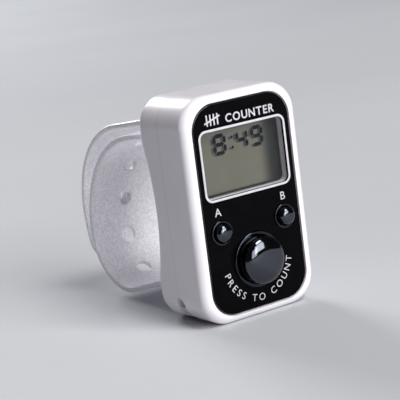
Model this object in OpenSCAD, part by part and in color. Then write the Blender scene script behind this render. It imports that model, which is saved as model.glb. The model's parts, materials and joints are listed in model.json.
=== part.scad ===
// Hand tally counter worn on a finger: a small case with a display, three buttons and a soft
// two-part finger strap. Units are millimetres. X runs to the wearer's right, Y from the front
// face to the back, Z up. The origin is the middle of the flat bottom end of the case.

/* [Case] */
// Width of the case
case_w = 23.6; // [23.4:0.1:24.6]
// Height of the case
case_h = 38.8; // [38.6:0.1:40]
// Depth of the case at its two ends
case_d = 13.8; // [13.6:0.1:15]
// Radius of the case's corners, seen from the front
corner_r = 5.1; // [4.7:0.1:5.6]
// Radius of the rounding along the front and back edges
edge_r = 1.5; // [1:0.1:1.6]
// Wall thickness of the sides
wall = 1.5; // [1.2:0.1:1.8]
// How far the hollow of the back cuts in at the waist
waist_depth = 1.65; // [0.5:0.05:1.75]
// Radius of the hollow across the back
waist_r = 42; // [40:1:60]

/* [Face] */
// Width of the face panel
panel_w = 19.9; // [19:0.1:20.5]
// Height of the face panel
panel_h = 36; // [35:0.1:36.5]
// Corner radius of the face panel
panel_r = 4.5; // [3.5:0.25:5]
// Thickness of the clear panel
panel_t = 0.4; // [0.3:0.05:0.5]
// Width of the display opening
window_w = 17.3; // [15:0.1:17.4]
// Height of the display opening
window_h = 11.5; // [10.5:0.1:11.6]
// Height of the display's middle above the bottom of the case
window_z = 27.2; // [27:0.1:27.6]

/* [Buttons] */
// Height of the count button's axis above the bottom of the case
count_z = 9.8; // [9.5:0.1:10.1]
// Radius of the count button
count_r = 4.1; // [3.6:0.1:4.1]
// How far the count button stands out of the face
count_out = 3.3; // [2.4:0.1:3.6]
// Travel of the count button
count_travel = 0.6; // [0.3:0.05:0.6]
// Height of the two small buttons' axes above the bottom of the case
small_z = 15.8; // [15.4:0.1:16.2]
// Distance of each small button's axis from the middle of the case
small_x = 6.6; // [6.4:0.1:7]
// Radius of the small buttons
small_r = 1.6; // [1.3:0.1:1.6]
// How far the small buttons stand out of the face
small_out = 1.6; // [1.1:0.1:1.8]
// Travel of the small buttons
small_travel = 0.4; // [0.2:0.05:0.4]

/* [Finger strap] */
// Width of the strap
strap_w = 15; // [12:0.5:15]
// Thickness of each arm of the strap
strap_t = 1; // [0.8:0.05:1]
// Radius of the outer arm's upper bend, on its outer side
outer_bend_r = 17.25; // [17.2:0.05:17.6]
// Radius of the inner arm's upper bend, on its outer side
inner_bend_r = 19.8; // [19.5:0.05:19.8]
// Radius of the inner arm's lower bend, on its outer side
inner_turn_r = 10.3; // [10.1:0.05:10.4]
// Spacing of the holes along the inner arm
hole_pitch = 7.5; // [7:0.1:8]
// Radius of each adjusting hole
hole_r = 1.4; // [1.3:0.05:1.5]
// Radius of each peg's neck
peg_r = 1; // [0.8:0.05:1]

/* [Lanyard hole] */
// Radius of the lanyard hole
lanyard_r = 1.1; // [0.8:0.05:1.1]
// Height of the lanyard hole's side opening
lanyard_z = 3.6; // [3.4:0.1:3.8]

/* [Hidden] */
$fn = 64;
slack = 0.1;                       // running clearance of sliding fits
front_y = -case_d / 2;
back_y = case_d / 2;
split_y = 0.8;                     // plane where the two shells meet
mask_t = 0.1;
panel_back = front_y + panel_t;
recess_y = panel_back + mask_t;    // floor of the recess that the panel sits in
front_wall = 1.3;
inside_y = recess_y + front_wall;  // inner face of the front wall

cavity_w = case_w - 2 * wall;
cavity_h = case_h - 2 * wall;
cavity_r = corner_r - wall;
cavity_back = 3.9;                 // depth of the cavity behind the waist
pocket_back = 5.4;                 // depth of the two pockets above and below the waist
pocket_top_z = 29.4;               // the upper pocket starts here
pocket_bottom_z = 9.4;             // the lower pocket ends here

glass_w = 18.6;
glass_h = 13.6;
glass_t = 1.1;
frame_w = 19.4;                    // frame that holds the display on the board
frame_h = 14.2;
frame_hole_w = 15.4;
frame_hole_h = 8.4;
film_t = 0.2;
film_front = inside_y + 0.05;
glass_back = film_front + glass_t;
reflector_back = glass_back + film_t;

board_front = -1.5;
board_t = 0.8;
board_back = board_front + board_t;
board_w = cavity_w - 0.6;
board_h = cavity_h - 0.8;
board_corner_r = 4;

strip_h = 1;
strip_w = 17.4;
strip_z = window_z + window_h / 2 + 0.45;

ring_lip = 0.4;                    // how far the count button's trim ring stands out
small_lip = 0.3;
ring_wall = 0.25;

switch_h = 1.7;
small_switch_h = 1.5;
switch_side = 6;
small_switch_side = 3.6;
count_plunger_r = 1.5;
small_plunger_r = 0.7;
count_plunger_y = -4.1;            // where each button's stem rests on its plunger
small_plunger_y = -3.9;
spring_gap = 0.25;                 // floor thickness of a switch, under its plunger
flange_front = inside_y + 0.05;

chip_r = 4;
chip_h = 1.1;
chip_dome_r = 8;
chip_z = 28.4;
crystal_r = 1;
crystal_len = 6;
crystal_spot = [-7.2, 21.9];       // x and z of its lower end
capacitor_spots = [[6.6, 22.4], [6.6, 25], [6.6, 30.2]];
capacitor_w = 1.6;
capacitor_h = 0.8;

cell_r = 5.8;
cell_h = 3.05;
cell_front = 0.3;
cell_back = cell_front + cell_h;
cell_z = 10.8;

case_boss_r = 1.3;
case_screw_r = 0.7;
case_head_r = 1.3;
case_head_y = 5;
case_pilot_y = -4.2;                // front ends of the screws' holes
case_screw_spots = [[8.2, 35.6], [-8.2, 35.6], [8.6, 9], [-8.6, 9]];
board_boss_r = 1.2;
board_screw_r = 0.55;
board_pilot_y = -4.3;
board_screw_spots = [[0, 18.3], [0, 3.1]];

outer_centre = [19.6, 15.6];       // [y, z] of the outer arm's upper bend
outer_tail_r = 24;
outer_tail_centre = [outer_centre[0] + outer_bend_r - outer_tail_r, outer_centre[1]];
outer_root_a = 82;
outer_tail_a = -27.5;
inner_centre = [15.25, 11.4];
inner_turn_centre = [inner_centre[0] + inner_bend_r - inner_turn_r, inner_centre[1]];
inner_tip_a = 97;
inner_root_a = -105.5;
root_y = 4.5;                      // where each arm's neck meets its foot, inside the case
neck_w = 11;
foot_w = 12.6;
foot_t = 0.8;
foot_h = 3;
tip_r = 5;                         // corner radius of each arm's free end
tail_end_z = outer_tail_centre[1] + outer_tail_r * sin(outer_tail_a);

inner_mid_r = inner_bend_r - strap_t / 2;
turn_mid_r = inner_turn_r - strap_t / 2;
pitch_a = hole_pitch / inner_mid_r * 180 / PI;
first_hole_a = 15.6;
past_bend = hole_pitch - first_hole_a / 180 * PI * inner_mid_r;
third_hole_a = -past_bend / turn_mid_r * 180 / PI;
fourth_hole_a = third_hole_a - hole_pitch / turn_mid_r * 180 / PI;
peg_angles = [first_hole_a, first_hole_a + pitch_a];
bend_hole_angles = [first_hole_a, first_hole_a + pitch_a, first_hole_a + 2 * pitch_a];
turn_hole_angles = [third_hole_a, fourth_hole_a];

lanyard_y = 0.6;
lanyard_inset = 3.4;               // distance of the downward opening from the side of the case
lanyard_x = case_w / 2 - lanyard_inset;
groove_r = 0.8;                    // radius of the groove that joins the two openings
groove_start = 180 + asin((corner_r - lanyard_z) / corner_r);
groove_end = 180 + acos((corner_r - lanyard_inset) / corner_r);

// Places a shape so that its local Z points to the front and its local Y up, from depth y on.
module facing_front(y) { translate([0, y, 0]) rotate([90, 0, 0]) children(); }

// The same, for shapes that grow to the back.
module facing_back(y) { translate([0, y, 0]) mirror([0, 1, 0]) rotate([90, 0, 0]) children(); }

// Draws a profile given in [y, z] and spreads it evenly to both sides in X.
module across(w) { rotate([90, 0, 90]) linear_extrude(w, center = true) children(); }

// Upright rectangle with round corners, in the plane of the face, centred at height z.
module rounded(w, h, r, z = case_h / 2) {
    translate([0, z]) {
        square([w - 2 * r, h], center = true);
        square([w, h - 2 * r], center = true);
        for (sx = [-1, 1], sz = [-1, 1])
            translate([sx * (w / 2 - r), sz * (h / 2 - r)]) circle(r);
    }
}

// Outline of one side of a plate of depth d, whose far edge is rounded with radius f.
module edge_profile(r, d, f) {
    square([r, d - f]);
    square([r - f, d]);
    translate([r - f, d - f]) intersection() {
        circle(f);
        square(f);
    }
}

// Half of the case as a solid: a rounded plate of depth d with its far edge rounded.
module pillow(d) {
    half_w = case_w / 2 - corner_r;
    half_h = case_h / 2 - corner_r;
    translate([0, case_h / 2, 0]) {
        translate([-half_w, -half_h, 0]) cube([2 * half_w, 2 * half_h, d]);
        for (k = [0:3]) {
            sx = (k == 0 || k == 3) ? 1 : -1;
            sz = k < 2 ? 1 : -1;
            translate([sx * half_w, sz * half_h, 0]) rotate(90 * k)
                rotate_extrude(angle = 90) edge_profile(corner_r, d, edge_r);
        }
        for (side = [0, 180]) rotate(side) {
            translate([half_w, half_h, 0]) rotate([90, 0, 0])
                linear_extrude(2 * half_h) edge_profile(corner_r, d, edge_r);
            translate([-half_w, half_h, 0]) rotate([90, 0, 90])
                linear_extrude(2 * half_w) edge_profile(corner_r, d, edge_r);
        }
    }
}

// Solid rounded plate between two depths.
module plate(y0, y1, w, h, r, z = case_h / 2) {
    facing_back(y0) linear_extrude(y1 - y0) rounded(w, h, r, z);
}

// Round bar along Y between two depths.
module bar(y0, y1, r, x = 0, z = 0) {
    translate([x, y0, z]) rotate([-90, 0, 0]) cylinder(h = y1 - y0, r = r);
}

// Box given by its two opposite corners.
module block(low, high) { translate(low) cube(high - low); }

// The cord channel in the lower left corner: in at the side, out at the bottom, and a groove that
// takes the cord's loop round the outside of the corner.
module lanyard_channel() {
    translate([-case_w / 2 - 1, lanyard_y, lanyard_z]) rotate([0, 90, 0])
        cylinder(h = case_w / 2 + 1 - lanyard_x, r = lanyard_r);
    translate([-lanyard_x, lanyard_y, -1]) cylinder(h = lanyard_z + 1, r = lanyard_r);
    translate([corner_r - case_w / 2, lanyard_y, corner_r]) rotate([90, 0, 0]) rotate(groove_start)
        rotate_extrude(angle = groove_end - groove_start) translate([corner_r, 0]) circle(groove_r);
}

// Solid block around the cord channel, which closes it off from the inside.
module lanyard_block() {
    intersection() {
        facing_front(split_y) translate([0, 0, -case_d]) linear_extrude(2 * case_d)
            rounded(case_w - 0.4, case_h - 0.4, corner_r - 0.2);
        block([-case_w / 2, lanyard_y - 2.6, 0],
            [-lanyard_x + 2.1, lanyard_y + 2.6, lanyard_z + 2.1]);
    }
}

module front_shell() {
    color("white") difference() {
        union() {
            difference() {
                facing_front(split_y) pillow(split_y - front_y);
                plate(inside_y, split_y + 1, cavity_w, cavity_h, cavity_r);
            }
            for (spot = case_screw_spots)
                bar(inside_y - 0.2, split_y, case_boss_r, spot[0], spot[1]);
            for (spot = board_screw_spots)
                bar(inside_y - 0.2, board_front, board_boss_r, spot[0], spot[1]);
            intersection() {
                lanyard_block();
                block([-case_w, front_y, -1], [case_w, split_y, case_h]);
            }
        }
        plate(front_y - 1, recess_y, panel_w + 0.3, panel_h + 0.3, panel_r + 0.15);
        plate(front_y, inside_y + 1, window_w, window_h, 1.2, window_z);
        bar(front_y, inside_y + 1, count_r + slack + ring_wall + 0.05, 0, count_z);
        for (side = [-1, 1])
            bar(front_y, inside_y + 0.4, small_r + slack + ring_wall + 0.05, side * small_x, small_z);
        for (spot = case_screw_spots)
            bar(case_pilot_y, split_y + 1, case_screw_r + 0.02, spot[0], spot[1]);
        for (spot = board_screw_spots)
            bar(board_pilot_y, board_front + 1, board_screw_r + 0.02, spot[0], spot[1]);
        lanyard_channel();
    }
}

// The hollow across the back, with the edges it makes at the sides rounded like the others.
module waist_cut() {
    translate([0, back_y - waist_depth + waist_r, case_h / 2]) rotate([0, 90, 0]) {
        cylinder(h = 2 * case_w, r = waist_r, center = true, $fn = 180);
        for (side = [0, 1]) mirror([0, 0, side]) rotate_extrude($fn = 180) difference() {
            translate([waist_r - 1, case_w / 2 - edge_r]) square([edge_r + 1, edge_r + 1]);
            translate([waist_r + edge_r, case_w / 2 - edge_r]) circle(edge_r);
        }
    }
}

module back_shell() {
    color("white") difference() {
        union() {
            difference() {
                facing_back(split_y) pillow(back_y - split_y);
                plate(split_y - 1, cavity_back, cavity_w, cavity_h, cavity_r);
                intersection() {
                    plate(split_y - 1, pocket_back, cavity_w, cavity_h, cavity_r);
                    union() {
                        block([-case_w, 0, pocket_top_z], [case_w, back_y, case_h]);
                        block([-case_w, 0, 0], [case_w, back_y, pocket_bottom_z]);
                    }
                }
            }
            for (spot = case_screw_spots)
                bar(split_y, case_head_y + 0.6, case_boss_r + 0.2, spot[0], spot[1]);
            intersection() {
                lanyard_block();
                block([-case_w, split_y, -1], [case_w, back_y, case_h]);
            }
        }
        waist_cut();
        for (root = [outer_root_z(6), inner_root_z(6)])
            block([-neck_w / 2 - 0.2, split_y, root - strap_t / 2 - 0.4],
                [neck_w / 2 + 0.2, back_y + 1, root + strap_t / 2 + 0.4]);
        for (spot = case_screw_spots) {
            bar(split_y - 1, back_y + 1, case_screw_r + 0.1, spot[0], spot[1]);
            bar(case_head_y, back_y + 1, case_head_r + 0.1, spot[0], spot[1]);
        }
        lanyard_channel();
    }
}

module face_panel() {
    color("gray", 0.4) difference() {
        plate(front_y, panel_back, panel_w, panel_h, panel_r);
        button_holes();
    }
}

module panel_mask() {
    color("black") difference() {
        plate(panel_back, recess_y, panel_w, panel_h, panel_r);
        plate(panel_back - 1, recess_y + 1, window_w - 0.2, window_h - 0.2, 1.1, window_z);
        button_holes();
    }
}

// Holes for the trim rings through the panel and its printed mask.
module button_holes() {
    bar(front_y - 1, recess_y + 1, count_r + slack + ring_wall + 0.05, 0, count_z);
    for (side = [-1, 1])
        bar(front_y - 1, recess_y + 1, small_r + slack + ring_wall + 0.05, side * small_x, small_z);
}

module lcd_front_film() {
    color("darkkhaki", 0.6)
        plate(film_front - film_t, film_front, window_w - 0.4, window_h - 0.4, 1, window_z);
}

module lcd_glass() {
    color("lightgray", 0.5) plate(film_front, glass_back, glass_w, glass_h, 0.3, window_z);
}

module lcd_reflector() {
    color("darkgray") plate(glass_back, reflector_back, glass_w - 1.6, window_h, 0.3, window_z - 0.3);
}

module display_frame() {
    color("whitesmoke") difference() {
        plate(reflector_back, board_front, frame_w, frame_h, 1, window_z);
        plate(reflector_back - 1, board_front + 1, frame_hole_w, frame_hole_h, 1, window_z - 0.6);
        block([-strip_w / 2 - 0.2, reflector_back - 1, strip_z - strip_h / 2 - 0.1],
            [strip_w / 2 + 0.2, board_front + 1, strip_z + strip_h / 2 + 0.1]);
    }
}

module contact_strip() {
    color("dimgray") block([-strip_w / 2, glass_back, strip_z - strip_h / 2],
        [strip_w / 2, board_front, strip_z + strip_h / 2]);
}

module circuit_board() {
    color("darkgreen") difference() {
        plate(board_front, board_back, board_w, board_h, board_corner_r);
        for (spot = case_screw_spots)
            bar(board_front - 1, board_back + 1, case_boss_r + 0.2, spot[0], spot[1]);
        for (spot = board_screw_spots)
            bar(board_front - 1, board_back + 1, board_screw_r + 0.1, spot[0], spot[1]);
        block([-case_w / 2, board_front - 1, 0], [-lanyard_x + 2.4, board_back + 1, lanyard_z + 2.4]);
    }
}

module chip_blob() {
    color("black") intersection() {
        bar(board_back, board_back + chip_h, chip_r, 0, chip_z);
        translate([0, board_back + chip_h - chip_dome_r, chip_z]) sphere(chip_dome_r, $fn = 180);
    }
}

module crystal() {
    color("silver") translate([crystal_spot[0], board_back, crystal_spot[1]]) {
        translate([0, crystal_r + 0.05, 0]) cylinder(h = crystal_len, r = crystal_r);
        block([-0.8, 0, 0.7], [0.8, crystal_r / 2, crystal_len - 0.8]);
    }
}

module capacitors() {
    color("tan") for (spot = capacitor_spots)
        block([spot[0] - capacitor_w / 2, board_back, spot[1] - capacitor_h / 2],
            [spot[0] + capacitor_w / 2, board_back + capacitor_h, spot[1] + capacitor_h / 2]);
}

// Case of a push switch on the board: a square box with a round well for its plunger.
module switch_case(x, z, side, h, well_r) {
    color("dimgray") difference() {
        block([x - side / 2, board_front - h, z - side / 2], [x + side / 2, board_front, z + side / 2]);
        bar(board_front - h - 1, board_front - spring_gap, well_r, x, z);
    }
}

module count_switch() { switch_case(0, count_z, switch_side, switch_h, count_plunger_r + slack); }
module small_switch(side) {
    switch_case(side * small_x, small_z, small_switch_side, small_switch_h, small_plunger_r + slack);
}
module mode_switch() { small_switch(-1); }
module set_switch() { small_switch(1); }

module count_plunger() {
    color("gold") bar(count_plunger_y, board_front - spring_gap - count_travel - 0.05,
        count_plunger_r, 0, count_z);
}

// Plunger of a small switch; side is -1 for mode and 1 for set.
module small_plunger(side) {
    color("gold") bar(small_plunger_y, board_front - spring_gap - small_travel - 0.05, small_plunger_r,
        side * small_x, small_z);
}

module mode_plunger() { small_plunger(-1); }
module set_plunger() { small_plunger(1); }

// Half outline of a button, from its stem's end to its domed front; r is across, y along.
module button_profile(r, flange_r, stem_r, flange_t, stem_h, cap_h, round_r, dome) {
    square([stem_r, stem_h + 0.1]);
    translate([0, stem_h]) square([flange_r, flange_t]);
    translate([0, stem_h + flange_t - 0.1]) {
        square([r, cap_h + 0.1 - dome - round_r]);
        square([r - round_r, cap_h + 0.1 - dome]);
        translate([r - round_r, cap_h + 0.1 - dome - round_r]) intersection() {
            circle(round_r);
            square(round_r);
        }
    }
    dome_r = (pow(r - round_r, 2) + dome * dome) / (2 * dome);
    translate([0, stem_h + flange_t + cap_h - dome_r]) intersection() {
        circle(dome_r, $fn = 180);
        translate([0, dome_r - dome - 0.1]) square([r - round_r, dome + 1]);
    }
}

module count_button() {
    color("#26282e") translate([0, 0, count_z]) facing_front(count_plunger_y) rotate_extrude()
        button_profile(count_r, count_r + 0.8, 1.6, 0.6, 0.4,
            count_out + (flange_front - front_y), 0.7, 0.5);
}

// Small button; side is -1 for mode and 1 for set.
module small_button(side) {
    color("#26282e") translate([side * small_x, 0, small_z]) facing_front(small_plunger_y) rotate_extrude()
        button_profile(small_r, small_r + 0.7, 0.8, 0.5, 0.65,
            small_out + (flange_front - front_y), 0.6, 0.4);
}

module mode_button() { small_button(-1); }
module set_button() { small_button(1); }

// Trim ring round a button: a rounded lip on the face and a sleeve through the front wall.
module trim_ring(x, z, r, lip_r, lip) {
    color("#34363c") translate([x, 0, z]) facing_front(inside_y) rotate_extrude() {
        translate([r + slack, 0]) square([ring_wall, inside_y - front_y]);
        translate([r + slack, inside_y - front_y]) {
            square([lip_r - r - slack, lip / 2]);
            square([lip_r - r - slack - lip / 2, lip]);
            translate([lip_r - r - slack - lip / 2, lip / 2]) intersection() {
                circle(lip / 2);
                square(lip / 2);
            }
        }
    }
}

module count_ring() { trim_ring(0, count_z, count_r, count_r + 0.75, ring_lip); }
module mode_ring() { trim_ring(-small_x, small_z, small_r, small_r + 0.55, small_lip); }
module set_ring() { trim_ring(small_x, small_z, small_r, small_r + 0.55, small_lip); }

module battery() {
    color("silver") {
        bar(cell_front + 0.5, cell_back, cell_r, 0, cell_z);
        bar(cell_front, cell_front + 0.5, cell_r - 1, 0, cell_z);
    }
}

module negative_contact() {
    color("gold") {
        block([-1.5, board_back, cell_z - 3.5], [1.5, board_back + 0.2, cell_z + 3.5]);
        for (z = [cell_z - 3.4, cell_z + 2.4])
            block([-1, board_back + 0.2, z], [1, cell_front, z + 1]);
    }
}

module positive_contact() {
    color("gold") {
        block([-3, cell_back, cell_z - 2], [6.6, cell_back + 0.25, cell_z + 2]);
        block([6.35, board_back, cell_z - 2], [6.6, cell_back + 0.1, cell_z + 2]);
    }
}

module case_screws() {
    color("silver") for (spot = case_screw_spots) difference() {
        union() {
            bar(case_head_y, case_head_y + 0.8, case_head_r, spot[0], spot[1]);
            bar(case_pilot_y + 0.6, case_head_y + 0.1, case_screw_r, spot[0], spot[1]);
        }
        cross_slot(spot[0], case_head_y + 0.8, spot[1], 1.5);
    }
}

module board_screws() {
    color("silver") for (spot = board_screw_spots) difference() {
        union() {
            bar(board_back, board_back + 0.6, 1.1, spot[0], spot[1]);
            bar(board_pilot_y + 0.5, board_back + 0.1, board_screw_r, spot[0], spot[1]);
        }
        cross_slot(spot[0], board_back + 0.6, spot[1], 1.2);
    }
}

// Cross recess cut into a screw head whose top is at depth y.
module cross_slot(x, y, z, len) {
    for (turn = [0, 90]) translate([x, y, z]) rotate([0, turn, 0])
        cube([len, 0.7, 0.3], center = true);
}

// Band between two radii, from one angle to another, round a centre in [y, z].
module arc_band(centre, r_out, a0, a1) {
    reach = 3 * r_out;
    steps = 6;
    translate(centre) intersection() {
        difference() {
            circle(r_out, $fn = 180);
            circle(r_out - strap_t, $fn = 180);
        }
        polygon([[0, 0], for (k = [0:steps]) let (a = a0 + (a1 - a0) * k / steps)
            reach * [cos(a), sin(a)]]);
    }
}

// Straight piece of band from inside the end of a bend at angle a to depth root_y. It is a hair
// thinner than the bend, so that its lap stays inside the bend's two faces.
module arm_root(centre, r_out, a) {
    lap = 0.3;
    thinner = 0.02;
    len = (centre[0] + r_out * cos(a) - root_y) / abs(sin(a)) + lap;
    translate(centre) rotate(a) translate([r_out - strap_t + thinner, a > 0 ? -lap : lap - len])
        square([strap_t - 2 * thinner, len]);
}

// Height of the middle of each arm's straight piece at a given depth.
function root_z(centre, r_out, a, y) = centre[1] + (r_out - strap_t / 2) * sin(a)
    + (centre[0] + (r_out - strap_t / 2) * cos(a) - y) / tan(a);
function outer_root_z(y) = root_z(outer_centre, outer_bend_r, outer_root_a, y);
function inner_root_z(y) = root_z(inner_turn_centre, inner_turn_r, inner_root_a, y);

// Anchoring foot inside the case, at the end of an arm's neck.
module foot(z) {
    block([-foot_w / 2, root_y - 0.1, z - foot_h / 2], [foot_w / 2, root_y - 0.1 + foot_t, z + foot_h / 2]);
}

// Narrows an arm to its neck where it passes through the back shell.
module neck_cuts() {
    for (side = [-1, 1]) translate([side * (neck_w / 2 + 5), 0, 0])
        block([-5, 0, -1], [5, back_y + 0.3, case_h + 1]);
}

module outer_strap() {
    color("lavender", 0.7) {
        difference() {
            across(strap_w) {
                arc_band(outer_centre, outer_bend_r, 0, outer_root_a);
                arc_band(outer_tail_centre, outer_tail_r, outer_tail_a, 0);
                arm_root(outer_centre, outer_bend_r, outer_root_a);
            }
            facing_back(outer_centre[0]) linear_extrude(30) tip_corners(tail_end_z);
            neck_cuts();
        }
        foot(outer_root_z(root_y));
        for (a = peg_angles) at_bend(a) peg(a);
    }
}

// What is cut off the two corners of an arm's free end, where the arm starts at the given place.
module tip_corners(end) {
    for (side = [0, 1]) mirror([side, 0]) translate([strap_w / 2 - tip_r, end + tip_r]) difference() {
        translate([0, -tip_r - 1]) square([tip_r + 1, tip_r + 1]);
        circle(tip_r, $fn = 96);
    }
}

// Places a shape on the inner arm's upper bend, its Z pointing outwards, from the bend's centre.
module at_bend(a) {
    translate([0, inner_centre[0], inner_centre[1]]) rotate([a - 90, 0, 0]) children();
}

// Peg that grows from the outer arm through a hole of the inner arm and ends in a domed head.
module peg(a) {
    inner_face = inner_bend_r - strap_t;
    translate([0, 0, inner_face]) cylinder(h = outer_reach(a) - inner_face, r = peg_r);
    translate([0, 0, inner_face + 0.3]) mirror([0, 0, 1]) rotate_extrude() intersection() {
        square([hole_r - 0.15, 0.9]);
        translate([0, 0.9 - 1.4]) circle(1.4, $fn = 96);
    }
}

// Distance from the inner arm's bend centre to just inside the outer arm, along angle a.
function outer_reach(a) = let (d = outer_centre - inner_centre, u = [cos(a), sin(a)], along = d * u,
    r = outer_bend_r - strap_t / 2) along + sqrt(along * along - d * d + r * r);

module inner_strap() {
    color("lavender", 0.7) {
        difference() {
            across(strap_w) {
                arc_band(inner_centre, inner_bend_r, 0, inner_tip_a);
                arc_band(inner_turn_centre, inner_turn_r, inner_root_a, 0);
                arm_root(inner_turn_centre, inner_turn_r, inner_root_a);
            }
            translate([0, 0, inner_centre[1] + 8]) linear_extrude(20)
                tip_corners(inner_centre[0] + inner_bend_r * cos(inner_tip_a));
            for (a = bend_hole_angles) at_bend(a) cylinder(h = 2 * inner_bend_r, r = hole_r);
            for (a = turn_hole_angles)
                translate([0, inner_turn_centre[0], inner_turn_centre[1]]) rotate([a - 90, 0, 0])
                    cylinder(h = 2 * inner_turn_r, r = hole_r);
            neck_cuts();
        }
        foot(inner_root_z(root_y));
    }
}

front_shell();
back_shell();
face_panel();
panel_mask();
lcd_front_film();
lcd_glass();
lcd_reflector();
display_frame();
contact_strip();
circuit_board();
chip_blob();
crystal();
capacitors();
count_switch();
mode_switch();
set_switch();
count_plunger();
mode_plunger();
set_plunger();
count_button();
mode_button();
set_button();
count_ring();
mode_ring();
set_ring();
battery();
negative_contact();
positive_contact();
case_screws();
board_screws();
outer_strap();
inner_strap();
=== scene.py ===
"""Looks of the hand tally counter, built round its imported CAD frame.

Metres. X is to the right, Y from the face to the back, Z up; the case stands on z = 0. Shapes are worked out
in millimetres, and become metres when a piece is made of them.
"""
import json
import math

import bpy
from mathutils import Matrix, Vector
from mathutils.geometry import delaunay_2d_cdt


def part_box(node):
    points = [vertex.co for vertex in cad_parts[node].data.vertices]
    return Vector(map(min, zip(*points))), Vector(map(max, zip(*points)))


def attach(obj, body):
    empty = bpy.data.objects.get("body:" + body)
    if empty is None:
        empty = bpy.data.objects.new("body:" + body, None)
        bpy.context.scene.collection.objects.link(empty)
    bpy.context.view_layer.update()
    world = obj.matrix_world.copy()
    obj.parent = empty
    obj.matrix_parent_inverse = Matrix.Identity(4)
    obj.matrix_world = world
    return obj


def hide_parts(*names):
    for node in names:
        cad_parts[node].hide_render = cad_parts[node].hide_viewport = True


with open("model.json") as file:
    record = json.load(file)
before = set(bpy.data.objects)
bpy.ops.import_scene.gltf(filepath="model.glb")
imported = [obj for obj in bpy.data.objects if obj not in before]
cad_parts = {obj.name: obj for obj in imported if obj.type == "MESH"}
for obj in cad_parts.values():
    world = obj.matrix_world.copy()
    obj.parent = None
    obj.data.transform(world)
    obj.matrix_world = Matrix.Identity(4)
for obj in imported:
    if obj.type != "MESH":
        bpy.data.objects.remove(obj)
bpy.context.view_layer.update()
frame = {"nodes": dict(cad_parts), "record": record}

MM = 0.001
NODES = frame["nodes"]

# ---------------------------------------------------------------- dimensions in millimetres


def extent(node):
    """A CAD node's lowest and highest corner in millimetres."""
    low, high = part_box(node)
    return low / MM, high / MM


panel_low, panel_high = extent("face_panel")
FACE_Y, PANEL_BACK = panel_low.y, panel_high.y
PANEL_W, PANEL_H = panel_high.x - panel_low.x, panel_high.z - panel_low.z
PANEL_Z = (panel_high.z + panel_low.z) / 2
PANEL_R, PANEL_BEVEL = 4.5, 0.3
WINDOW_W, WINDOW_H, WINDOW_R, WINDOW_Z = 17.1, 11.3, 1.1, 27.2

count_low, count_high = extent("count_button")
set_low, set_high = extent("set_button")
COUNT_Z = (count_low.z + count_high.z) / 2
SMALL_X, SMALL_Z = (set_low.x + set_high.x) / 2, (set_low.z + set_high.z) / 2
COUNT_R, COUNT_HOLE = 4.1, 4.5
SMALL_R, SMALL_HOLE = 1.6, 2.0

PRINT_Y = FACE_Y - 0.012
film_low, film_high = extent("lcd_front_film")
SEAM_Y = extent("front_shell")[1].y

# ---------------------------------------------------------------- materials


def add(tree, kind, **settings):
    """Adds a shader node and sets its inputs, by name, and its own options."""
    node = tree.nodes.new(kind)
    for key, value in settings.items():
        if key in node.inputs:
            node.inputs[key].default_value = value
        else:
            setattr(node, key, value)
    return node


def blank(name):
    """A new material with an empty node tree and its output node."""
    mat = bpy.data.materials.new(name)
    mat.use_nodes = True
    mat.node_tree.nodes.clear()
    return mat, mat.node_tree, mat.node_tree.nodes.new("ShaderNodeOutputMaterial")


def noise(tree, scale, detail=3.0):
    """Noise in object space; scale counts features per metre."""
    place = add(tree, "ShaderNodeTexCoord")
    tex = add(tree, "ShaderNodeTexNoise", Scale=scale, Detail=detail)
    tree.links.new(place.outputs["Object"], tex.inputs["Vector"])
    return tex.outputs["Fac"]


def spread(tree, factor, low, high, start=0.3, end=0.7, curve="LINEAR"):
    """Maps a factor from the range start to end to the range low to high."""
    ramp = add(tree, "ShaderNodeMapRange", interpolation_type=curve)
    for key, value in (("From Min", start), ("From Max", end), ("To Min", low), ("To Max", high)):
        ramp.inputs[key].default_value = value
    tree.links.new(factor, ramp.inputs["Value"])
    return ramp.outputs["Result"]


def tint(tree, factor, first, second, start=0.35, end=0.65):
    """Colour that runs from first to second with a factor."""
    ramp = add(tree, "ShaderNodeValToRGB")
    ends = ramp.color_ramp.elements
    ends[0].position, ends[1].position = start, end
    ends[0].color, ends[1].color = (*first, 1), (*second, 1)
    tree.links.new(factor, ramp.inputs["Fac"])
    return ramp.outputs["Color"]


def surface(tree, first, second, patch, rough, grain=None, lift=0.0, **sockets):
    """Principled shader with mottled colour, uneven roughness and a fine grain.

    patch and grain are features per metre, rough is a (low, high) pair, lift the grain's height in metres.
    """
    shader = add(tree, "ShaderNodeBsdfPrincipled")
    for key, value in sockets.items():
        shader.inputs[key.replace("_", " ")].default_value = value
    tree.links.new(tint(tree, noise(tree, patch), first, second), shader.inputs["Base Color"])
    tree.links.new(spread(tree, noise(tree, patch * 2.7), *rough), shader.inputs["Roughness"])
    if grain:
        bump = add(tree, "ShaderNodeBump", Strength=1.0, Distance=lift)
        tree.links.new(noise(tree, grain, 4.0), bump.inputs["Height"])
        tree.links.new(bump.outputs["Normal"], shader.inputs["Normal"])
    return shader


def solid(name, *args, **kwargs):
    """Material of one opaque surface."""
    mat, tree, out = blank(name)
    tree.links.new(surface(tree, *args, **kwargs).outputs["BSDF"], out.inputs["Surface"])
    return mat


def mixed(tree, out, share, first, second):
    """Sends a mix of two shaders to the output, all of the second where share is 1."""
    mix = add(tree, "ShaderNodeMixShader")
    tree.links.new(share, mix.inputs["Fac"])
    tree.links.new(first.outputs["BSDF"], mix.inputs[1])
    tree.links.new(second.outputs["BSDF"], mix.inputs[2])
    tree.links.new(mix.outputs["Shader"], out.inputs["Surface"])


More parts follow.
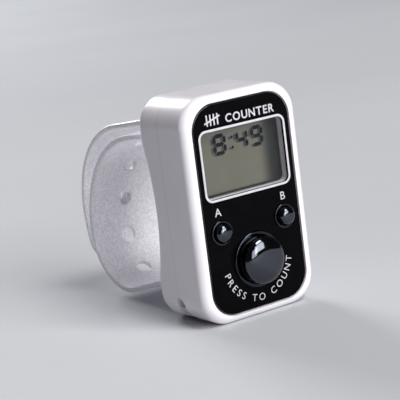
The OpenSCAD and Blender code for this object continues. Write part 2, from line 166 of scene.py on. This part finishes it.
def clear_sheet(name):
    """Clear sheet: what is behind it shows unbent, with more gloss on top the flatter the view."""
    mat, tree, out = blank(name)
    clear = add(tree, "ShaderNodeBsdfTransparent", Color=(0.97, 0.975, 0.98, 1))
    gloss = surface(tree, (0.9, 0.9, 0.92), (0.96, 0.96, 0.98), 90, (0.03, 0.06), Metallic=1.0)
    facing = add(tree, "ShaderNodeLayerWeight", Blend=0.5)
    curve = add(tree, "ShaderNodeMath", operation="POWER")
    curve.inputs[1].default_value = 5
    tree.links.new(facing.outputs["Facing"], curve.inputs[0])
    mixed(tree, out, spread(tree, curve.outputs["Value"], 0.01, 0.7, 0.0, 1.0), clear, gloss)
    return mat


def frosted(name):
    """Soft translucent plastic with a fine moulded grain; light that makes shadows passes through it."""
    mat, tree, out = blank(name)
    body = surface(tree, (0.7, 0.695, 0.71), (0.92, 0.915, 0.925), 2400, (0.34, 0.48),
                   grain=2800, lift=0.00008, IOR=1.45, Transmission_Weight=0.35)
    clear = add(tree, "ShaderNodeBsdfTransparent", Color=(0.75, 0.745, 0.77, 1))
    path = add(tree, "ShaderNodeLightPath")
    mixed(tree, out, path.outputs["Is Shadow Ray"], body, clear)
    return mat


def place_in(tree):
    """Object-space X, Y and Z of the shaded point."""
    place = add(tree, "ShaderNodeTexCoord")
    parts = add(tree, "ShaderNodeSeparateXYZ")
    tree.links.new(place.outputs["Object"], parts.inputs["Vector"])
    return parts.outputs


def blend(tree, shader, factor, colour):
    """Mixes a colour over a shader's base colour."""
    mix = add(tree, "ShaderNodeMix", data_type="RGBA")
    below, above = [s for s in mix.inputs if s.type == "RGBA" and s.name in "AB"]
    above.default_value = (*colour, 1)
    tree.links.new(shader.inputs["Base Color"].links[0].from_socket, below)
    tree.links.new(factor, mix.inputs["Factor"])
    tree.links.new([s for s in mix.outputs if s.type == "RGBA"][0], shader.inputs["Base Color"])


def shell_plastic(name, seam, half_width=0.06):
    """White glossy plastic with a thin darker line where the two shells meet."""
    mat, tree, out = blank(name)
    shader = surface(tree, (0.785, 0.75, 0.8), (0.815, 0.78, 0.83), 120, (0.28, 0.36), grain=2600,
                     lift=0.000002, Coat_Weight=0.15, Coat_Roughness=0.2)
    line = add(tree, "ShaderNodeMath", operation="COMPARE")
    line.inputs[1].default_value, line.inputs[2].default_value = seam * MM, half_width * MM
    tree.links.new(place_in(tree)["Y"], line.inputs[0])
    blend(tree, shader, line.outputs["Value"], (0.62, 0.6, 0.64))
    tree.links.new(shader.outputs["BSDF"], out.inputs["Surface"])
    return mat


def display_film(name):
    """Grey-green film of the display, with painted shade towards its right end and along the window's lower
    edge.
    """
    mat, tree, out = blank(name)
    shader = surface(tree, (0.112, 0.107, 0.08), (0.124, 0.119, 0.09), 300, (0.3, 0.4), grain=9000,
                     lift=0.00001)
    right_end = film_high.x - 0.3
    lower_end = WINDOW_Z - WINDOW_H / 2 + 0.4
    # Painted shade: the film darkens smoothly into its right end and into its lower edge, where the window's
    # walls shade it.
    for axis, pale, dark in (("X", right_end - 4.2, right_end - 1.4), ("Z", lower_end + 0.3, lower_end)):
        painted_shade = spread(tree, place_in(tree)[axis], 0, 1, pale * MM, dark * MM, "SMOOTHSTEP")
        blend(tree, shader, painted_shade, (0.009, 0.0095, 0.009))
    tree.links.new(shader.outputs["BSDF"], out.inputs["Surface"])
    return mat


case_plastic = shell_plastic("case_plastic", SEAM_Y)
window_glaze = clear_sheet("window_glaze")
panel_black = solid("panel_black", (0.0012, 0.0012, 0.0015), (0.002, 0.002, 0.0025), 300, (0.05, 0.08),
                    Specular_IOR_Level=0.04)
panel_edge = solid("panel_edge", (0.01, 0.01, 0.012), (0.02, 0.02, 0.024), 500, (0.12, 0.2))
print_ink = solid("print_ink", (0.48, 0.47, 0.51), (0.56, 0.55, 0.59), 900, (0.4, 0.55))
outline_ink = solid("outline_ink", (0.52, 0.51, 0.55), (0.6, 0.59, 0.63), 700, (0.25, 0.35))
segment_ink = solid("segment_ink", (0.004, 0.006, 0.01), (0.008, 0.011, 0.016), 900, (0.4, 0.5),
                    Specular_IOR_Level=0.1)
# Painted shadow: dark ink for the copy of the segments that stands for their shadow on the display's
# reflector.
painted_shadow_ink = solid("painted_shadow_ink", (0.04, 0.045, 0.045), (0.052, 0.057, 0.055), 900, (0.4, 0.5),
                  Specular_IOR_Level=0.2)
dark_plate = solid("dark_plate", (0.07, 0.074, 0.088), (0.085, 0.089, 0.104), 160, (0.05, 0.1),
                   grain=900, lift=0.0000015, Metallic=1.0)
ring_plate = solid("ring_plate", (0.03, 0.033, 0.044), (0.042, 0.046, 0.06), 160, (0.08, 0.14),
                   grain=900, lift=0.0000015, Metallic=1.0)
strap_plastic = frosted("strap_plastic")
peg_plastic = solid("peg_plastic", (0.86, 0.86, 0.88), (0.92, 0.92, 0.94), 600, (0.03, 0.06), IOR=1.5,
                    Transmission_Weight=0.75, Coat_Weight=0.6, Coat_Roughness=0.04)
SLOTS = {
    "case_white": case_plastic,
    "mask_black": solid("mask_ink", (0.003, 0.003, 0.004), (0.006, 0.006, 0.008), 400, (0.35, 0.5),
                        Specular_IOR_Level=0.1),
    "lcd_film": display_film("lcd_film"),
    "lcd_glass": solid("glass_plate", (0.3, 0.31, 0.28), (0.34, 0.35, 0.32), 300, (0.1, 0.2)),
    "lcd_silver": solid("silver_film", (0.42, 0.42, 0.37), (0.48, 0.48, 0.42), 500, (0.3, 0.4)),
    "frame_white": solid("frame_plastic", (0.78, 0.78, 0.77), (0.84, 0.84, 0.83), 300, (0.4, 0.55),
                         grain=3000, lift=0.00001),
    "strip_rubber": solid("strip_rubber", (0.08, 0.075, 0.085), (0.2, 0.19, 0.2), 2600, (0.6, 0.75)),
    "board_green": solid("board_mask", (0.012, 0.12, 0.05), (0.02, 0.17, 0.08), 700, (0.25, 0.4),
                         grain=2500, lift=0.00002),
    "blob_black": solid("blob_epoxy", (0.01, 0.01, 0.011), (0.02, 0.02, 0.022), 500, (0.2, 0.35),
                        grain=900, lift=0.00004),
    "can_steel": solid("drawn_steel", (0.5, 0.51, 0.53), (0.62, 0.63, 0.65), 500, (0.22, 0.34),
                       grain=2500, lift=0.00001, Metallic=1.0),
    "ceramic_tan": solid("fired_ceramic", (0.36, 0.24, 0.13), (0.46, 0.33, 0.2), 1500, (0.5, 0.65)),
    "switch_black": solid("switch_nylon", (0.03, 0.03, 0.03), (0.05, 0.05, 0.05), 900, (0.45, 0.6),
                          grain=3000, lift=0.00001),
    "plunger_plastic": solid("plunger_acetal", (0.6, 0.55, 0.45), (0.68, 0.63, 0.54), 700, (0.4, 0.5)),
    "contact_brass": solid("sprung_brass", (0.62, 0.45, 0.18), (0.72, 0.55, 0.25), 700, (0.25, 0.38),
                           Metallic=1.0),
    "screw_steel": solid("zinc_steel", (0.5, 0.51, 0.54), (0.66, 0.67, 0.7), 900, (0.25, 0.4),
                         grain=4000, lift=0.000006, Metallic=1.0),
    "panel_clear": panel_black,
    "button_plated": dark_plate,
    "ring_plated": ring_plate,
    "strap_frosted": strap_plastic,
}

# ---------------------------------------------------------------- meshes


def piece(name, verts, faces, body, mats, replaces=(), sharp=35.0, which=None):
    """Makes a shown piece from vertices in millimetres; which gives each face's place in mats."""
    mesh = bpy.data.meshes.new(name)
    mesh.from_pydata([Vector(v) * MM for v in verts], [], faces)
    mesh.validate()
    for mat in mats:
        mesh.materials.append(mat)
    for i, poly in enumerate(mesh.polygons):
        poly.use_smooth = True
        if which:
            poly.material_index = which[i]
    mesh.set_sharp_from_angle(angle=math.radians(sharp))
    obj = bpy.data.objects.new(name, mesh)
    bpy.context.scene.collection.objects.link(obj)
    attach(obj, body)
    if replaces:
        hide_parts(*replaces)
    return obj


def weld(obj, distance):
    """Joins vertices that lie within a distance in metres."""
    obj.modifiers.new("weld", "WELD").merge_threshold = distance


def lathe(profile, steps=128):
    """Turns (radius, height) points round the local Z axis. Points on the axis close the ends."""
    verts, rings, faces = [], [], []
    for r, h in profile:
        if r < 1e-6:
            rings.append([len(verts)])
            verts.append((0, 0, h))
        else:
            rings.append(list(range(len(verts), len(verts) + steps)))
            verts += [(x, y, h) for x, y in circle(0, 0, r, steps)]
    for a, b in zip(rings, rings[1:]):
        for k in range(steps):
            n = (k + 1) % steps
            if len(a) == 1:
                faces.append((a[0], b[n], b[k]))
            elif len(b) == 1:
                faces.append((a[k], a[n], b[0]))
            else:
                faces.append((a[k], a[n], b[n], b[k]))
    return verts, faces


def turned(profile, x, z):
    """A lathed shape whose axis stands on the face at x and z, with its heights in front of the face."""
    verts, faces = lathe(profile)
    return [(x - v[0], FACE_Y - v[2], z + v[1]) for v in verts], faces


def circle(x, y, r, steps=64):
    """Points on a full circle."""
    return [(x + r * math.cos(2 * math.pi * k / steps), y + r * math.sin(2 * math.pi * k / steps))
            for k in range(steps)]


def arc(cx, cy, r, a0, a1, steps):
    """Points on an arc, angles in degrees."""
    return [(cx + r * math.cos(math.radians(a0 + (a1 - a0) * k / steps)),
             cy + r * math.sin(math.radians(a0 + (a1 - a0) * k / steps))) for k in range(steps + 1)]


def round_rect(w, h, r, z, steps=14):
    """Closed outline, counter-clockwise from the front, of an upright rectangle centred at height z."""
    pts = []
    for cx, cz, a in ((1, -1, -90), (1, 1, 0), (-1, 1, 90), (-1, -1, 180)):
        pts += arc(cx * (w / 2 - r), z + cz * (h / 2 - r), r, a, a + 90, steps)
    return pts


class Builder:
    """Collects vertices, faces and a material number for each face."""

    def __init__(self):
        self.verts, self.faces, self.which = [], [], []

    def loop(self, pts):
        """Adds a closed row of points and returns their numbers."""
        start = len(self.verts)
        self.verts += [tuple(p) for p in pts]
        return range(start, len(self.verts))

    def bridge(self, loops, mat=0):
        """Faces between each loop and the next."""
        for a, b in zip(loops, loops[1:]):
            n = len(a)
            self.faces += [(a[k], a[(k + 1) % n], b[(k + 1) % n], b[k]) for k in range(n)]
            self.which += [mat] * n

    def merge(self, verts, faces, mat=0):
        """Adds a finished shape."""
        start = len(self.verts)
        self.verts += [tuple(v) for v in verts]
        self.faces += [tuple(start + i for i in f) for f in faces]
        self.which += [mat] * len(faces)


def inside(pt, outline):
    """True if a point lies in a closed outline."""
    x, y = pt
    hit = False
    for (x0, y0), (x1, y1) in zip(outline, outline[1:] + outline[:1]):
        if (y0 > y) != (y1 > y) and x < x0 + (y - y0) / (y1 - y0) * (x1 - x0):
            hit = not hit
    return hit


def grid(outline, holes, pitch):
    """Points about pitch apart over an area with holes, clear of its edges."""
    xs, ys = [p[0] for p in outline], [p[1] for p in outline]
    rims = [Vector(p) for p in outline] + [Vector(p) for h in holes for p in h]
    width, height = max(xs) - min(xs), max(ys) - min(ys)
    nx, ny = int(width / pitch), int(height / pitch)
    pts = []
    for i in range(1, nx):
        for j in range(1, ny):
            p = Vector((min(xs) + width * i / nx, min(ys) + height * j / ny))
            if inside(p, outline) and not any(inside(p, h) for h in holes):
                if min((p - r).length_squared for r in rims) > (0.4 * pitch) ** 2:
                    pts.append(p)
    return pts


def fill(outline, holes=(), pitch=None):
    """Triangles of a flat area with holes. Returns its points, outlines first, and the triangles."""
    pts, edges = [], []
    for ring in (outline, *holes):
        start, n = len(pts), len(ring)
        pts += [Vector(p) for p in ring]
        edges += [(start + k, start + (k + 1) % n) for k in range(n)]
    if pitch:
        pts += grid(outline, holes, pitch)
    got, _, tris, source, _, _ = delaunay_2d_cdt(pts, edges, [], 0, 1e-7)
    index = [s[0] if s else None for s in source]
    keep = []
    for t in tris:
        mid = sum((got[i] for i in t), Vector((0, 0))) / len(t)
        if inside(mid, outline) and not any(inside(mid, h) for h in holes):
            ids = [index[i] for i in t]
            if None not in ids and len(set(ids)) == len(ids):
                keep.append(tuple(ids))
    return [tuple(p) for p in pts], keep


# ---------------------------------------------------------------- CAD parts


def refine(obj, angle=32.0):
    """Rejoins a CAD part's faces and gives it clean shading over its rounded edges."""
    for poly in obj.data.polygons:
        poly.use_smooth = True
    weld(obj, 2e-6)
    obj.modifiers.new("split", "EDGE_SPLIT").split_angle = math.radians(angle)
    normals = obj.modifiers.new("normals", "WEIGHTED_NORMAL")
    normals.weight = 100
    normals.keep_sharp = True


for item in frame["record"]["subparts"]:
    part = NODES[item["node"]]
    part.data.materials.clear()
    part.data.materials.append(SLOTS[item["material_slot"]])
    refine(part)

# ---------------------------------------------------------------- face


def face_panel():
    """Glossy panel with a bevelled rim, holes for the buttons and a clear window."""
    b = Builder()
    back_y = PANEL_BACK - 0.02

    def rim(inset):
        return round_rect(PANEL_W - 2 * inset, PANEL_H - 2 * inset, PANEL_R - inset, PANEL_Z)

    steps = ((PANEL_BEVEL, FACE_Y), (PANEL_BEVEL * 0.4, FACE_Y + PANEL_BEVEL * 0.22),
             (0, FACE_Y + PANEL_BEVEL * 0.8), (0, back_y))
    b.bridge([b.loop([(x, y, z) for x, z in rim(inset)]) for inset, y in steps], 1)
    holes = [circle(0, COUNT_Z, COUNT_HOLE), circle(-SMALL_X, SMALL_Z, SMALL_HOLE),
             circle(SMALL_X, SMALL_Z, SMALL_HOLE)]
    for ring in holes:
        front = b.loop([(x, FACE_Y, z) for x, z in ring])
        back = b.loop([(x, back_y, z) for x, z in ring])
        b.bridge([back, front], 1)
    window = round_rect(WINDOW_W, WINDOW_H, WINDOW_R, WINDOW_Z)
    for y, inset, turn in ((FACE_Y, PANEL_BEVEL, 1), (back_y, 0, -1)):
        for mat, (pts, tris) in ((0, fill(rim(inset), holes + [window])), (2, fill(window))):
            b.merge([(x, y, z) for x, z in pts], [t[::turn] for t in tris], mat)
    obj = piece("panel", b.verts, b.faces, "case", [panel_black, panel_edge, window_glaze],
                ["face_panel"], which=b.which)
    weld(obj, 5e-6)


face_panel()

# ---------------------------------------------------------------- printing on the panel


def glyphs(text, size, heavy):
    """Flat outlines of a text in the built-in typeface: one (points, faces, left, right) for each letter."""
    found = []
    for letter in text:
        curve = bpy.data.curves.new("letter", "FONT")
        curve.body = letter
        curve.size = size
        curve.offset = heavy
        curve.resolution_u = 4
        curve.fill_mode = "FRONT"
        obj = bpy.data.objects.new("letter", curve)
        mesh = obj.to_mesh()
        pts = [(v.co.x, v.co.y) for v in mesh.vertices]
        faces = [tuple(p.vertices) for p in mesh.polygons]
        obj.to_mesh_clear()
        bpy.data.objects.remove(obj)
        bpy.data.curves.remove(curve)
        xs = [p[0] for p in pts] or [0, size * 0.25]
        found.append((pts, faces, min(xs), max(xs)))
    return found


def edges_of(faces):
    """Pairs of neighbouring vertices round each face."""
    return [edge for f in faces for edge in zip(f, f[1:] + f[:1])]


def prism(b, pts, faces, front_y, depth=0.008):
    """Adds flat faces, given in x and z, as a thin slab whose front is at front_y."""
    edges, n = edges_of(faces), len(pts)
    known = set(edges)
    sides = [(i + n, j + n, j, i) for i, j in edges if (j, i) not in known]
    back = [tuple(i + n for i in reversed(f)) for f in faces]
    every = list(faces) + back + sides
    area = sum(pts[i][0] * pts[j][1] - pts[j][0] * pts[i][1] for i, j in edges_of(faces[:1]))
    if area < 0:
        every = [tuple(reversed(f)) for f in every]
    b.merge([(x, front_y, z) for x, z in pts] + [(x, front_y + depth, z) for x, z in pts], every)


def word(b, text, x0, x1, z0, size, heavy):
    """A line of letters from x0 to x1 on the base line z0; one letter alone stands at x0."""
    letters = glyphs(text, size, heavy)
    widths = [right - left for _, _, left, right in letters]
    gap = (x1 - x0 - sum(widths)) / max(len(letters) - 1, 1)
    x = x0
    for (pts, faces, left, _), width in zip(letters, widths):
        prism(b, [(x + px - left, z0 + pz) for px, pz in pts], faces, PRINT_Y)
        x += width + gap


def arc_word(b, text, cz, r, a0, a1, size, heavy):
    """Letters that stand on an arc round the middle line at height cz, their tops towards its centre."""
    letters = glyphs(text, size, heavy)
    widths = [right - left for _, _, left, right in letters]
    gap = (math.radians(a1 - a0) * r - sum(widths)) / (len(letters) - 1)
    s = 0
    for (pts, faces, left, _), width in zip(letters, widths):
        a = math.radians(a0) + (s + width / 2) / r
        up, right = Vector((-math.cos(a), -math.sin(a))), Vector((-math.sin(a), math.cos(a)))
        foot = Vector((0, cz)) - up * r
        prism(b, [tuple(foot + right * (px - left - width / 2) + up * pz) for px, pz in pts], faces, PRINT_Y)
        s += width + gap


def bar(b, ax, az, bx, bz, width, raised=0.0):
    """A straight stroke with round ends; raised puts it in front of the other printing."""
    turn, r = math.degrees(math.atan2(bz - az, bx - ax)), width / 2
    pts, tris = fill(arc(bx, bz, r, turn - 90, turn + 90, 8) + arc(ax, az, r, turn + 90, turn + 270, 8))
    prism(b, pts, tris, PRINT_Y - raised)


def printing():
    """Tally sign, the words, and the line round the window."""
    b = Builder()
    stroke, first_x, pitch = 0.28, -6.85, 0.72
    word(b, "COUNTER", -3.1, 7.05, 33.85, 1.95, 0.04)
    for k in range(4):
        bar(b, first_x + pitch * k, 33.95, first_x + pitch * k, 35.6, stroke)
    bar(b, -7.3, 34.3, -4.3, 35.25, stroke, 0.006)
    word(b, "A", -7.55, -6.35, 18.7, 1.95, 0.01)
    word(b, "B", 6.3, 7.25, 18.65, 1.95, 0.01)
    arc_word(b, "PRESS TO COUNT", COUNT_Z, 7.25, 191, 351, 1.75, 0.0)
    piece("panel_printing", b.verts, b.faces, "case", [print_ink])
    line = Builder()
    gap, width = 0.01, 0.39
    inner = round_rect(WINDOW_W + 2 * gap, WINDOW_H + 2 * gap, WINDOW_R + 0.02, WINDOW_Z)
    outer = round_rect(WINDOW_W + 2 * (gap + width), WINDOW_H + 2 * (gap + width), WINDOW_R + 0.4, WINDOW_Z)
    pts, tris = fill(outer, [inner])
    prism(line, pts, tris, PRINT_Y)
    piece("window_outline", line.verts, line.faces, "case", [outline_ink])


printing()

# ---------------------------------------------------------------- display

SEGMENTS = {"8": "abcdefg", "4": "bcfg", "9": "abcdfg"}
FIGURES = (("8", -4.75, 28.65, 2.05, 2.95), ("4", -0.05, 28.65, 1.9, 2.9), ("9", 3.1, 28.7, 1.95, 2.9))
COLON_X, COLON_Z, COLON_R = -1.15, (29.15, 30.9), 0.26


def digit(b, figure, x, z, w, h, stroke, y):
    """Seven-segment figure with its lower left corner at x, z."""
    m, gap = h / 2, 0.08
    spans = {"a": (x, z + h, x + w, z + h), "d": (x, z, x + w, z), "g": (x, z + m, x + w, z + m),
             "f": (x, z + m, x, z + h), "b": (x + w, z + m, x + w, z + h),
             "e": (x, z, x, z + m), "c": (x + w, z, x + w, z + m)}
    for name in SEGMENTS[figure]:
        ax, az, bx, bz = spans[name]
        along = Vector((bx - ax, bz - az)).normalized()
        side = Vector((-along.y, along.x)) * stroke / 2
        p, q = Vector((ax, az)) + along * gap, Vector((bx, bz)) - along * gap
        tip = along * stroke / 2
        pts = [p, p + tip - side, q - tip - side, q, q - tip + side, p + tip + side]
        prism(b, [tuple(v) for v in pts], [tuple(range(6))], y)


def digits(name, ink, dx, dz, lift, stroke):
    """Three figures and a colon, moved by dx and dz, a lift in front of the display's film."""
    b = Builder()
    y = film_low.y - lift
    for figure, x, z, w, h in FIGURES:
        digit(b, figure, x + dx, z + dz, w, h, stroke, y)
    for z in COLON_Z:
        prism(b, circle(COLON_X + dx, z + dz, COLON_R, 16), [tuple(range(16))], y)
    piece(name, b.verts, b.faces, "case", [ink])


# Painted shadow: a dark copy of the segments, moved left and down, stands for the shadow they cast on the
# reflector behind the film.
digits("digit_shadows", painted_shadow_ink, -0.5, -0.1, 0.012, 0.56)
digits("digits", segment_ink, 0, 0, 0.022, 0.64)

# ---------------------------------------------------------------- buttons

FLANGE_FRONT = extent("count_ring")[1].y - FACE_Y + 0.06
FLANGE_T = 0.5
SMALL_KEYS = (("mode", -SMALL_X), ("set", SMALL_X))


def button(name, body, node, x, z, r, out, dome, power, flange):
    """Plated button: stem and flange inside, a straight side, and a front that curves over to the rim."""
    back, stem = extent(node)[1].y - FACE_Y, r * 0.4
    flange_back = FLANGE_FRONT + FLANGE_T
    profile = [(0, -back), (stem, -back), (stem, -flange_back), (flange, -flange_back),
               (flange, -FLANGE_FRONT), (r, -FLANGE_FRONT), (r, 0)]
    steps = 28
    for k in range(steps):
        a = math.radians(90 * k / steps)
        profile.append((r * math.cos(a) ** (2 / power), out - dome + dome * math.sin(a)))
    profile.append((0, out))
    verts, faces = turned(profile, x, z)
    piece(name, verts, faces, body, [dark_plate], [node], sharp=40)


def trim(name, node, x, z, r, lip_r, lip):
    """Trim ring with a rounded lip on the face and a sleeve through the front wall."""
    back, inner = extent(node)[1].y - FACE_Y, r + 0.1
    sleeve, half, edge = 0.25, lip / 2, 0.12
    profile = [(inner, -back), (inner + sleeve, -back), (inner + sleeve, 0), (lip_r, 0)]
    profile += arc(lip_r - half, half, half, 0, 90, 8)
    profile += arc(inner + edge, lip - edge, edge, 90, 180, 6)
    profile.append((inner, -back))
    verts, faces = turned(profile, x, z)
    piece(name, verts, faces, "case", [ring_plate], [node], sharp=40)


button("count_key_cap", "count_key", "count_button", 0, COUNT_Z, COUNT_R,
       FACE_Y - count_low.y, 1.5, 2.7, 4.9)
for label, x in SMALL_KEYS:
    button(label + "_key_cap", label + "_key", label + "_button", x, SMALL_Z, SMALL_R,
           FACE_Y - set_low.y, 0.95, 2.6, 2.3)
trim("count_trim", "count_ring", 0, COUNT_Z, COUNT_R, 4.85, 0.4)
for label, x in SMALL_KEYS:
    trim(label + "_trim", label + "_ring", x, SMALL_Z, SMALL_R, 2.15, 0.3)

# ---------------------------------------------------------------- finger strap

STRAP_W, STRAP_T, NECK_W = 15.0, 1.0, 11.0
STRAP_EDGE, TIP_R = 0.32, 5.0
SHOULDER_Y, ROOT_Y = 7.5, 4.6
HOLE_R, PITCH = 1.4, 7.5
INNER, TURN = (15.25, 11.4), (24.75, 11.4)
OUTER, TAIL = (19.6, 15.6), (12.85, 15.6)
INNER_R, TURN_R, OUTER_R, TAIL_R = 19.3, 9.8, 16.75, 23.5
INNER_START, INNER_ROOT = 97, -105.5
OUTER_START, OUTER_ROOT = -27.5, 82
FIRST_PEG = 15.6


class Track:
    """Path of an arm's middle layer in the Y-Z plane, made of arcs and a straight end."""

    def __init__(self, arcs):
        self.parts, self.bend_end = [], 0.0
        for centre, r, a0, a1 in arcs:
            span = abs(math.radians(a1 - a0)) * r
            self.parts.append((self.bend_end, span, centre, r, a0, a1))
            self.bend_end += span
        centre, r, a0, a1 = arcs[-1]
        a, turn = math.radians(a1), math.copysign(1, a1 - a0)
        self.normal = Vector((math.cos(a), math.sin(a)))
        self.point = Vector(centre) + self.normal * r
        self.heading = Vector((-math.sin(a), math.cos(a))) * turn
        self.length = self.length_at_y(ROOT_Y)

    def at(self, s, t):
        """(y, z) at length s along the arm and t outwards from its middle layer."""
        for start, span, centre, r, a0, a1 in self.parts:
            if s <= start + span:
                a = math.radians(a0 + (a1 - a0) * (s - start) / span)
                return centre[0] + (r + t) * math.cos(a), centre[1] + (r + t) * math.sin(a)
        return tuple(self.point + self.heading * (s - self.bend_end) + self.normal * t)

    def length_at_y(self, y):
        """Length at which the straight end reaches a depth y."""
        return self.bend_end + (y - self.point.x) / self.heading.x


def tongue(shoulder, length):
    """Outline of an arm laid flat, (s, v): a rounded tip, straight sides and a narrower neck."""
    half, neck = STRAP_W / 2, NECK_W / 2
    corner, notch, step, end_steps = 1.2, 0.45, 0.55, 12
    corner_s, neck_s = shoulder - corner, shoulder + notch
    pts = arc(TIP_R, -half + TIP_R, TIP_R, 180, 270, 14)
    n = int((corner_s - TIP_R) / step)
    pts += [(TIP_R + (corner_s - TIP_R) * k / n, -half) for k in range(1, n)]
    pts += arc(corner_s, -half + corner, corner, -90, 0, 6)
    pts += [(shoulder, -neck - notch)] + arc(neck_s, -neck - notch, notch, 180, 90, 4)[1:]
    n = max(int((length - neck_s) / step), 2)
    pts += [(neck_s + (length - neck_s) * k / n, -neck) for k in range(1, n)]
    pts += [(length, -neck + NECK_W * k / end_steps) for k in range(end_steps)]
    return pts + [(s, -v) for s, v in reversed(pts[:1 - end_steps])]


def shifted(outline, d):
    """An outline moved inwards by d; it runs counter-clockwise."""
    n, out = len(outline), []
    for k in range(n):
        a, p, c = (Vector(outline[(k + j) % n]) for j in (-1, 0, 1))
        u, w = p - a, c - p
        if u.length < 1e-9 or w.length < 1e-9:
            u = w = c - a
        u, w = u.normalized(), w.normalized()
        m = Vector((-u.y - w.y, u.x + w.x))
        m = m.normalized() if m.length > 1e-6 else Vector((-u.y, u.x))
        out.append(tuple(p + m * d))
    return out


def arm(name, track, spots, node, extra=None):
    """One soft arm: a band with rounded edges, cut out flat and then laid along its track."""
    b = Builder()
    outline = tongue(track.length_at_y(SHOULDER_Y), track.length)
    levels = []
    for e in (0, 22.5, 45, 67.5, 90):
        a = math.radians(e)
        levels.append((STRAP_EDGE * (1 - math.sin(a)), STRAP_T / 2 - STRAP_EDGE * (1 - math.cos(a))))
    levels += [(d, -t) for d, t in reversed(levels)]

    def lay(flat, t):
        return [(v, *track.at(s, t)) for s, v in flat]

    b.bridge([b.loop(lay(shifted(outline, d), t)) for d, t in levels])
    for spot in spots:
        b.bridge([b.loop(lay(circle(spot, 0, HOLE_R + d, 40), t)) for d, t in reversed(levels)])
    rims = [circle(spot, 0, HOLE_R + STRAP_EDGE, 40) for spot in spots]
    pts, tris = fill(shifted(outline, STRAP_EDGE), rims, pitch=0.7)
    b.merge(lay(pts, STRAP_T / 2), [tuple(reversed(t)) for t in tris])
    b.merge(lay(pts, -STRAP_T / 2), tris)
    if extra:
        extra(b)
    obj = piece(name, b.verts, b.faces, "case", [strap_plastic, peg_plastic], [node],
                sharp=50, which=b.which)
    weld(obj, 5e-6)


def pegs(b):
    """Two pegs on the outer arm, through the inner arm's holes, with domed heads on the inside."""
    face = INNER_R - STRAP_T / 2
    peg_r, head_r, head_h, root_depth = 1.0, 1.25, 0.8, 0.2
    offset = Vector(OUTER) - Vector(INNER)
    for degrees in (FIRST_PEG, FIRST_PEG + math.degrees(PITCH / INNER_R)):
        a = math.radians(degrees)
        u = Vector((math.cos(a), math.sin(a)))
        along = offset.dot(u)
        reach = along + math.sqrt(along ** 2 - offset.length_squared + (OUTER_R - root_depth) ** 2)
        profile = [(0, reach), (peg_r, reach), (peg_r, face + 0.45), (head_r - 0.03, face + 0.2)]
        profile += [(head_r * math.cos(math.radians(e)), face + 0.05 - head_h * math.sin(math.radians(e)))
                    for e in range(0, 91, 9)]
        verts, faces = lathe(profile, 48)
        laid = [(x, INNER[0] + u.x * h - u.y * y, INNER[1] + u.y * h + u.x * y) for x, y, h in verts]
        b.merge(laid, faces, 1)


inner_track = Track([(INNER, INNER_R, INNER_START, 0), (TURN, TURN_R, 0, INNER_ROOT)])
outer_track = Track([(TAIL, TAIL_R, OUTER_START, 0), (OUTER, OUTER_R, 0, OUTER_ROOT)])
first_hole = math.radians(INNER_START - FIRST_PEG) * INNER_R
arm("inner_arm", inner_track, [first_hole + PITCH * k for k in (-2, -1, 0, 1, 2)], "inner_strap")
arm("outer_arm", outer_track, [], "outer_strap", pegs)

# ---------------------------------------------------------------- stage


def floor(squares=24, half=3.0):
    """Wide pale sheet with a faint unevenness; half its width in metres."""
    n = squares + 1
    verts = [((i / squares - 0.5) * 2 * half, (j / squares - 0.5) * 2 * half, 0)
             for j in range(n) for i in range(n)]
    faces = [(j * n + i, j * n + i + 1, (j + 1) * n + i + 1, (j + 1) * n + i)
             for j in range(squares) for i in range(squares)]
    mesh = bpy.data.meshes.new("floor")
    mesh.from_pydata(verts, [], faces)
    mesh.materials.append(solid("floor_paper", (0.50, 0.51, 0.53), (0.53, 0.54, 0.56), 6, (0.7, 0.8)))
    obj = bpy.data.objects.new("floor", mesh)
    bpy.context.scene.collection.objects.link(obj)


def lamp(name, place, size, power, colour=(1, 1, 1)):
    """Soft box: a square area light aimed at the object; place and size in millimetres."""
    target = Vector((0, 5, 19))
    data = bpy.data.lights.new(name, "AREA")
    data.shape, data.size, data.energy, data.color = "SQUARE", size * MM, power, colour
    obj = bpy.data.objects.new(name, data)
    bpy.context.scene.collection.objects.link(obj)
    obj.location = Vector(place) * MM
    obj.rotation_euler = (target - Vector(place)).to_track_quat("-Z", "Y").to_euler()


floor()
lamp("key", (250, -1140, 560), 740, 11.5)
lamp("front", (-130, -1190, 360), 600, 4.6)
lamp("top", (200, -640, 1100), 480, 9.5)
lamp("rim", (150, 1150, 650), 420, 9.5, (0.95, 0.96, 1.0))
bpy.context.scene.view_settings.view_transform = "Standard"

world = bpy.data.worlds.new("studio")
bpy.context.scene.world = world
world.use_nodes = True
background = world.node_tree.nodes["Background"]
background.inputs["Color"].default_value = (0.93, 0.94, 0.97, 1)
background.inputs["Strength"].default_value = 0.04

EYE = Vector((-150.34, -216.69, 73.85))
AZIMUTH, ELEVATION, ROLL = math.radians(-33.76), math.radians(11.56), math.radians(-7.30)
back = Vector((math.sin(AZIMUTH) * math.cos(ELEVATION), -math.cos(AZIMUTH) * math.cos(ELEVATION),
               math.sin(ELEVATION)))
right = (-back).cross(Vector((0, 0, 1))).normalized()
up = right.cross(-back)
right_rolled = right * math.cos(ROLL) + up * math.sin(ROLL)
up_rolled = up * math.cos(ROLL) - right * math.sin(ROLL)
camera = bpy.data.cameras.new("camera")
camera.lens, camera.sensor_width = 141.43, 36
camera.clip_start, camera.clip_end = 0.01, 20
eye = bpy.data.objects.new("camera", camera)
bpy.context.scene.collection.objects.link(eye)
facing = Matrix((right_rolled, up_rolled, back)).transposed().to_4x4()
eye.matrix_world = Matrix.Translation(EYE * MM) @ facing
bpy.context.scene.camera = eye
